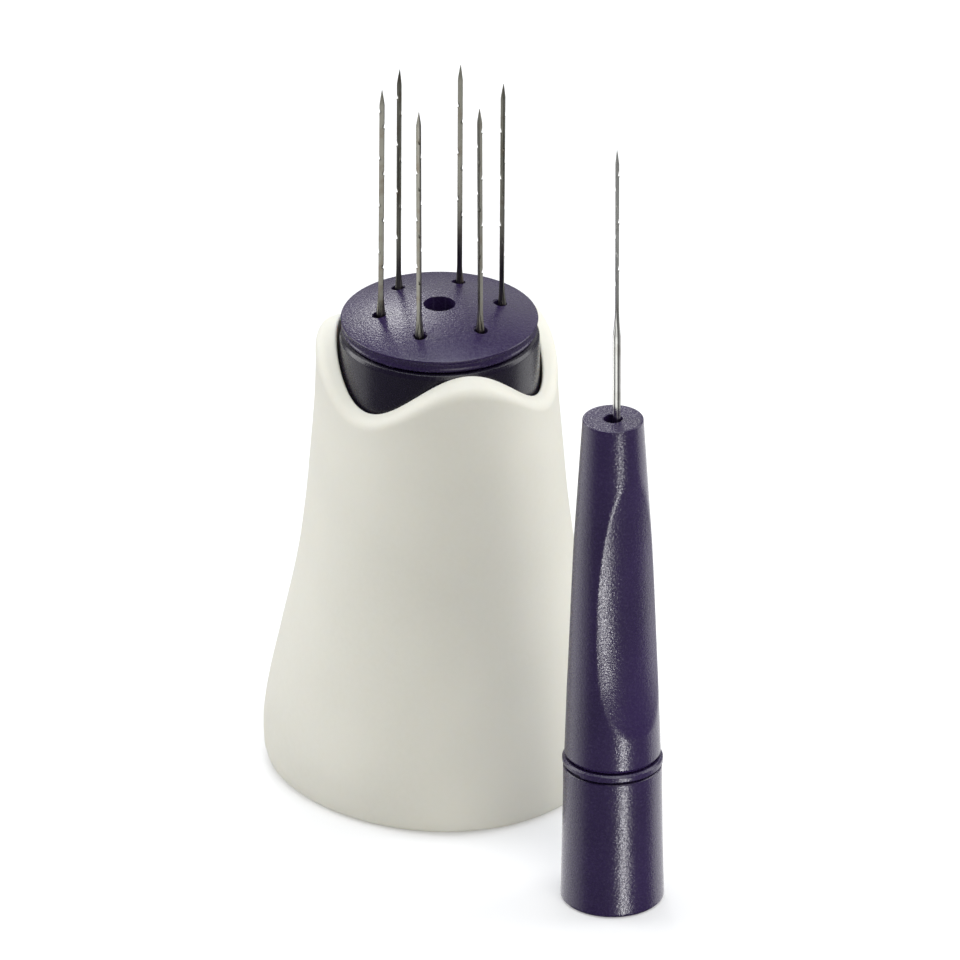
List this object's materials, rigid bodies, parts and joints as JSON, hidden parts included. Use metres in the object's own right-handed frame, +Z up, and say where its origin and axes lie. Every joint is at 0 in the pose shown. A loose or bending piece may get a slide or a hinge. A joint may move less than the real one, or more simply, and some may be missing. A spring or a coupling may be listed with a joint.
{
  "type": "needle felting tool set",
  "caption": "Needle felting set: bell-shaped palm handle with a lift-out head of barbed needles, and a tapered pen tool with its own barbed needle.",
  "frame": {"origin": "on the palm tool's axis, at the flat wide end it stands on; the pen stands on the same plane", "axes": "+Z up along both tools' axes, towards the needle tips; the pen stands towards +X and -Y"},
  "size_m": [0.0562, 0.0733, 0.1171],
  "materials": {
    "ivory_shell": "satin fine-grained ivory moulded plastic",
    "ivory_plate": "satin ivory moulded plastic",
    "aubergine_plastic": "finely grained dark aubergine moulded plastic with a satin sparkle",
    "dark_core_plastic": "satin black-purple moulded plastic",
    "needle_steel": "drawn carbon steel, faintly olive, satin",
    "brass_insert": "turned brass",
    "zinc_screw": "zinc plated steel",
    "black_rubber": "matt black rubber",
    "grey_silicone": "matt grey silicone"
  },
  "bodies": {
    "handle": {"handle_shell": "ivory_shell", "palm_plate": "ivory_plate"},
    "needle_head": {"head_cup": "aubergine_plastic", "head_o_ring": "black_rubber", "needle_carrier": "dark_core_plastic", "clamp_nut": "brass_insert", "needle_1": "needle_steel", "needle_2": "needle_steel", "needle_3": "needle_steel", "needle_4": "needle_steel", "needle_5": "needle_steel", "needle_6": "needle_steel"},
    "cap": {"needle_cap": "aubergine_plastic", "pressure_foot": "dark_core_plastic", "clamp_pad": "grey_silicone"},
    "screw": {"clamp_screw": "zinc_screw"},
    "pen_base": {"pen_end_cap": "aubergine_plastic", "pen_core": "dark_core_plastic", "pen_needle": "needle_steel"},
    "collar": {"pen_collar": "aubergine_plastic"},
    "grip": {"pen_grip": "aubergine_plastic"}
  },
  "joints": [
    {"name": "head_lift", "type": "slide", "parent": "handle", "child": "needle_head", "axis": [0, 0, 1], "range_m": [0, 0.05]},
    {"name": "cap_lift", "type": "slide", "parent": "needle_head", "child": "cap", "axis": [0, 0, 1], "range_m": [0, 0.08]},
    {"name": "screw_turn", "type": "hinge", "parent": "cap", "child": "screw", "pos_m": [0, 0, 0.034], "axis": [0, 0, 1], "continuous": true},
    {"name": "pen_lift", "type": "slide", "parent": "handle", "child": "pen_base", "axis": [0, 0, 1], "range_m": [0, 0.06]},
    {"name": "collar_turn", "type": "hinge", "parent": "pen_base", "child": "collar", "pos_m": [0.0242, -0.0421, 0.0218], "axis": [0, 0, 1], "continuous": true},
    {"name": "grip_lift", "type": "slide", "parent": "collar", "child": "grip", "axis": [0, 0, 1], "range_m": [0, 0.096]}
  ]
}
